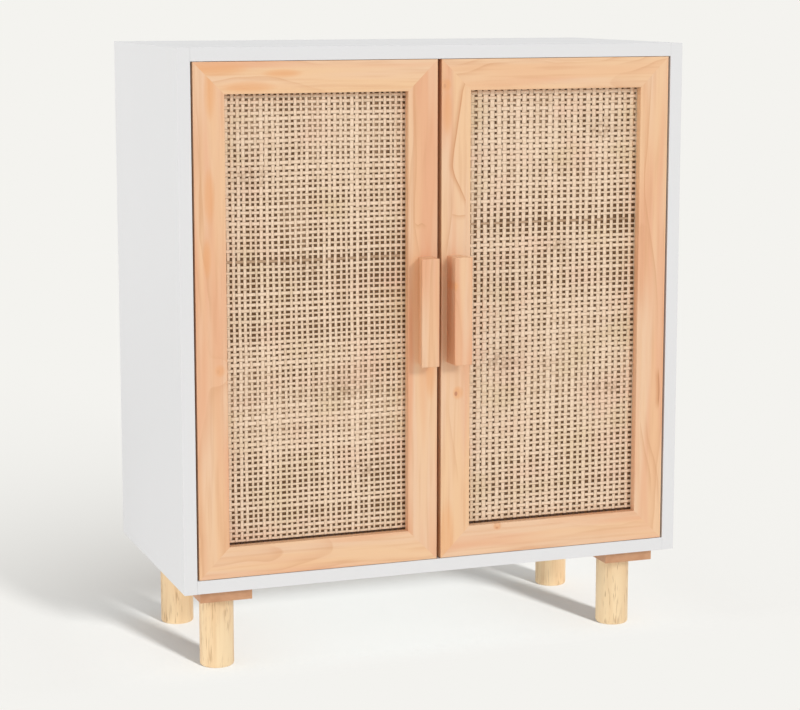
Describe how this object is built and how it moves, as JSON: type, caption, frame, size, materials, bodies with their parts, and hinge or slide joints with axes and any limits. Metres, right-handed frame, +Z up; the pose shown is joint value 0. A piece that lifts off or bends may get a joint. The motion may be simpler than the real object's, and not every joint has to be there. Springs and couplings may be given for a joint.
{
  "type": "record cabinet",
  "caption": "Low white storage cabinet with inset pine-framed cane doors, undercut bar handles, a movable shelf and round pine legs.",
  "frame": {"origin": "on the floor, under the middle of the whole cabinet with its handles", "axes": "+Z up, +X to the right seen from the front, +Y to the back; the doors face -Y"},
  "size_m": [0.6, 0.325, 0.7],
  "materials": {
    "white_board": "smooth satin white foil on board",
    "hardboard": "brown hardboard",
    "backing_board": "thin brown board",
    "pine_frame": "clear satin lacquer on pine",
    "pine_bead": "clear satin lacquer on pine",
    "pine_handle": "clear satin lacquer on pine",
    "pine_leg": "clear satin lacquer on pine",
    "pine_rail": "clear satin lacquer on pine",
    "beech": "plain turned dowel",
    "cane": "woven peeled cane strands, matt",
    "steel": "zinc plated",
    "brass": "plain brass",
    "nylon": "moulded nylon",
    "magnet": "ferrite magnet"
  },
  "bodies": {
    "carcass": {"left_side_panel": "white_board", "right_side_panel": "white_board", "top_panel": "white_board", "bottom_panel": "white_board", "back_panel": "hardboard", "back_nails": "steel", "shelf": "white_board", "shelf_pins": "steel", "carcass_dowels": "beech", "cam_bolts": "steel", "cam_locks": "steel", "left_leg_rail": "pine_rail", "right_leg_rail": "pine_rail", "leg_rail_screws": "steel", "left_front_leg": "pine_leg", "right_front_leg": "pine_leg", "left_back_leg": "pine_leg", "right_back_leg": "pine_leg", "leg_bolts": "steel", "leg_inserts": "brass", "frame_hinge_leaves": "brass", "frame_hinge_screws": "brass", "hinge_pins": "steel", "hinge_washers": "nylon", "catch_housings": "nylon", "catch_magnets": "magnet", "catch_pole_plates": "steel", "catch_screws": "steel"},
    "left_door": {"left_door_hinge_stile": "pine_frame", "left_door_meeting_stile": "pine_frame", "left_door_top_rail": "pine_frame", "left_door_bottom_rail": "pine_frame", "left_door_corner_dowels": "beech", "left_door_cane_beads": "pine_bead", "left_door_cane_panel": "cane", "left_door_backing_board": "backing_board", "left_door_handle": "pine_handle", "left_door_handle_screws": "steel", "left_door_hinge_leaves": "brass", "left_door_hinge_screws": "brass", "left_door_strike_plate": "steel", "left_door_strike_screws": "steel"},
    "right_door": {"right_door_hinge_stile": "pine_frame", "right_door_meeting_stile": "pine_frame", "right_door_top_rail": "pine_frame", "right_door_bottom_rail": "pine_frame", "right_door_corner_dowels": "beech", "right_door_cane_beads": "pine_bead", "right_door_cane_panel": "cane", "right_door_backing_board": "backing_board", "right_door_handle": "pine_handle", "right_door_handle_screws": "steel", "right_door_hinge_leaves": "brass", "right_door_hinge_screws": "brass", "right_door_strike_plate": "steel", "right_door_strike_screws": "steel"}
  },
  "joints": [
    {"name": "left_door_hinge", "type": "hinge", "parent": "carcass", "child": "left_door", "pos_m": [-0.2737, -0.132, 0.4], "axis": [0, 0, -1], "range_deg": [0, 110]},
    {"name": "right_door_hinge", "type": "hinge", "parent": "carcass", "child": "right_door", "pos_m": [0.2737, -0.132, 0.4], "axis": [0, 0, 1], "range_deg": [0, 110]}
  ]
}
